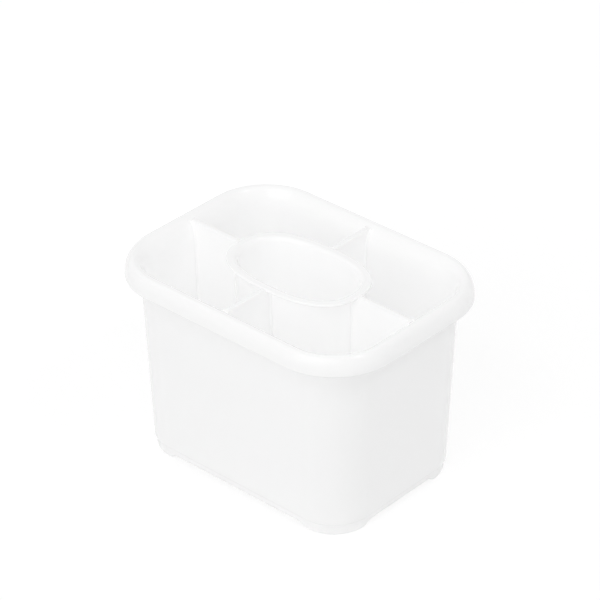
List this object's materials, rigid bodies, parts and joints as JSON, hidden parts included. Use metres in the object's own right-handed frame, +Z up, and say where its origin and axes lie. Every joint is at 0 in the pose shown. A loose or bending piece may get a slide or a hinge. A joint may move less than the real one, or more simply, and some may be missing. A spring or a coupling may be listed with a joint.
{
  "type": "cutlery drainer",
  "caption": "Rounded rectangular cutlery drainer with a rolled rim, corner feet, a lift-out cross divider and a lift-out oval centre cup.",
  "frame": {"origin": "middle of the tub's footprint, on the plane that the soles of its four feet stand on", "axes": "+X along the tub's long side, +Y across it, +Z up towards the open rim"},
  "size_m": [0.182, 0.137, 0.125],
  "materials": {
    "white_plastic": "satin, as moulded"
  },
  "bodies": {
    "tub": {"outer_tub": "white_plastic"},
    "divider": {"divider_insert": "white_plastic"},
    "cup": {"centre_cup": "white_plastic"}
  },
  "joints": [
    {"name": "divider_lift", "type": "slide", "parent": "tub", "child": "divider", "axis": [0, 0, 1], "range_m": [0, 0.118]},
    {"name": "cup_lift", "type": "slide", "parent": "divider", "child": "cup", "axis": [0, 0, 1], "range_m": [0, 0.088]}
  ]
}
